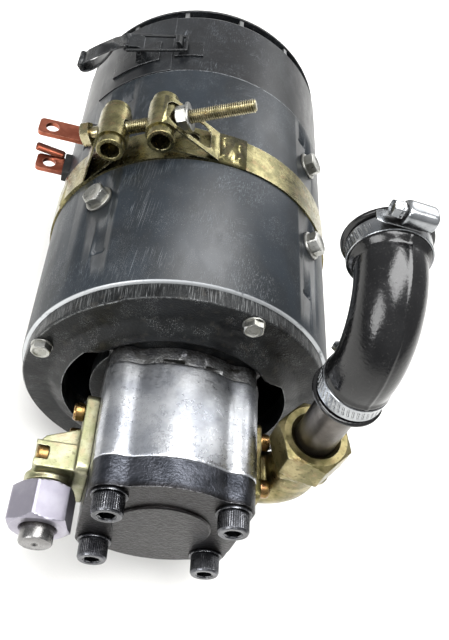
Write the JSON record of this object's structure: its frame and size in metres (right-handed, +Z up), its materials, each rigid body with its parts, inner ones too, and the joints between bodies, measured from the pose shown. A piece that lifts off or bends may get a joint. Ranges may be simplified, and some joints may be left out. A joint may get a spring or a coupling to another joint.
{
  "type": "hydraulic gear pump unit",
  "caption": "Electric motor driving a flanged gear pump, with port elbows, union nuts, a capped pressure port and a rubber suction elbow.",
  "frame": {"origin": "on the shaft axis, half way along the width of the clamp band round the motor can", "axes": "+Y runs from the pump to the brush end of the motor; +Z is up, across the pump's two gears; +X points from the pressure port to the suction port"},
  "size_m": [0.2044, 0.3665, 0.2691],
  "materials": {
    "can_paint": "satin dark blue-grey paint, scratched",
    "bell_iron": "black painted casting with a machined ring",
    "bolt_zinc": "dull zinc plate",
    "cover_paint": "dark grey satin paint on sheet",
    "shield_metal": "bare cast aluminium",
    "latch_black": "black finished spring steel",
    "terminal_copper": "tarnished copper bar",
    "insulator": "black moulded insulation",
    "yellow_zinc": "yellow zinc passivate",
    "bolt_yellow": "yellow zinc thread worn to steel",
    "core_steel": "laminated steel",
    "winding_copper": "varnished copper winding",
    "commutator_copper": "turned copper bars",
    "shaft_steel": "ground steel",
    "fan_alu": "cast aluminium",
    "brush_brass": "brass holder",
    "carbon": "carbon brush",
    "spring_steel": "spring steel",
    "cover_cast": "cast aluminium, stained",
    "pump_alu": "bright extruded aluminium",
    "cover_dark": "dark oiled machined cover",
    "cap_screw": "black oxide cap screws worn bright",
    "seal_rubber": "seal rubber",
    "elbow_zinc": "pale yellow-green zinc",
    "screw_gold": "gold zinc",
    "nut_satin": "satin zinc nut",
    "plug_steel": "bright turned steel",
    "elbow_olive": "olive yellow zinc",
    "tube_steel": "dark drawn steel tube",
    "hose_rubber": "glossy moulded rubber",
    "clip_steel": "bright stainless strip"
  },
  "bodies": {
    "motor_unit": {"bearing_balls": "shaft_steel", "bearing_block_front": "fan_alu", "bearing_block_rear": "fan_alu", "bearing_outer_rings": "shaft_steel", "bell_bolts": "bolt_zinc", "brush_cover_band": "cover_paint", "brush_holders": "brush_brass", "brush_rocker": "insulator", "brush_springs": "spring_steel", "brushes": "carbon", "clamp_bolt": "bolt_yellow", "clamp_strap": "yellow_zinc", "clamp_trunnions": "yellow_zinc", "drive_end_bell": "bell_iron", "field_coils": "winding_copper", "hose_clip_lower": "clip_steel", "hose_clip_upper": "clip_steel", "latch_base": "latch_black", "latch_keeper": "latch_black", "motor_can": "can_paint", "pole_screws": "bolt_zinc", "pole_shoes": "core_steel", "pressure_elbow": "elbow_zinc", "pressure_plug": "plug_steel", "pressure_screws": "screw_gold", "pump_body": "pump_alu", "pump_front_cover": "cover_cast", "pump_rear_cover": "cover_dark", "pump_screws": "cap_screw", "pump_washers": "cap_screw", "rear_cap": "cover_paint", "rear_end_shield": "shield_metal", "shaft_seal": "seal_rubber", "suction_elbow": "elbow_olive", "suction_hose": "hose_rubber", "suction_screws": "screw_gold", "suction_tube": "tube_steel", "terminal_insulators": "insulator", "terminal_lower": "terminal_copper", "terminal_upper": "terminal_copper"},
    "rotor": {"motor_shaft": "shaft_steel", "armature_core": "core_steel", "armature_winding": "winding_copper", "commutator": "commutator_copper", "fan": "fan_alu", "bearing_inner_rings": "shaft_steel", "coupling": "shaft_steel", "drive_gear": "shaft_steel"},
    "driven_gear": {"driven_gear": "shaft_steel"},
    "latch_lever": {"latch_lever": "latch_black"},
    "latch_link": {"latch_link": "latch_black"},
    "clamp_nut": {"clamp_nut": "bolt_zinc"},
    "pressure_union_nut": {"pressure_union_nut": "nut_satin"},
    "suction_union_nut": {"suction_union_nut": "elbow_olive"},
    "clip_screw_lower": {"clip_screw_lower": "clip_steel"},
    "clip_screw_upper": {"clip_screw_upper": "clip_steel"}
  },
  "joints": [
    {"name": "rotor_spin", "type": "hinge", "parent": "motor_unit", "child": "rotor", "pos_m": [0, 0, 0], "axis": [0, 1, 0], "continuous": true},
    {"name": "driven_gear_spin", "type": "hinge", "parent": "motor_unit", "child": "driven_gear", "pos_m": [0, -0.1575, -0.027], "axis": [0, 1, 0], "continuous": true},
    {"name": "latch_lever_open", "type": "hinge", "parent": "motor_unit", "child": "latch_lever", "pos_m": [-0.05827, 0.1005, 0.07817], "axis": [0, 1, 0], "range_deg": [0, 80]},
    {"name": "latch_link_swing", "type": "hinge", "parent": "latch_lever", "child": "latch_link", "pos_m": [-0.06627, 0.1005, 0.07957], "axis": [0, 1, 0], "range_deg": [-80, 0]},
    {"name": "clamp_nut_turn", "type": "hinge", "parent": "motor_unit", "child": "clamp_nut", "pos_m": [-0.02682, 0, 0.10586], "axis": [0.8809, 0, 0.4733], "continuous": true},
    {"name": "pressure_nut_turn", "type": "hinge", "parent": "motor_unit", "child": "pressure_union_nut", "pos_m": [-0.0615, -0.1965, -0.004], "axis": [0, 1, 0], "continuous": true},
    {"name": "suction_nut_turn", "type": "hinge", "parent": "motor_unit", "child": "suction_union_nut", "pos_m": [0.068, -0.1575, 0.041], "axis": [0, 0, 1], "continuous": true},
    {"name": "lower_clip_screw_turn", "type": "hinge", "parent": "motor_unit", "child": "clip_screw_lower", "pos_m": [0.06712, -0.13298, 0.1007], "axis": [0.9272, -0.3746, 0], "continuous": true},
    {"name": "upper_clip_screw_turn", "type": "hinge", "parent": "motor_unit", "child": "clip_screw_upper", "pos_m": [0.05978, -0.1162, 0.17384], "axis": [0.9976, 0, -0.0698], "continuous": true}
  ],
  "couplings": [
    {"joint": "driven_gear_spin", "follows": "rotor_spin", "ratio": -1},
    {"joint": "latch_link_swing", "follows": "latch_lever_open", "ratio": -1}
  ]
}
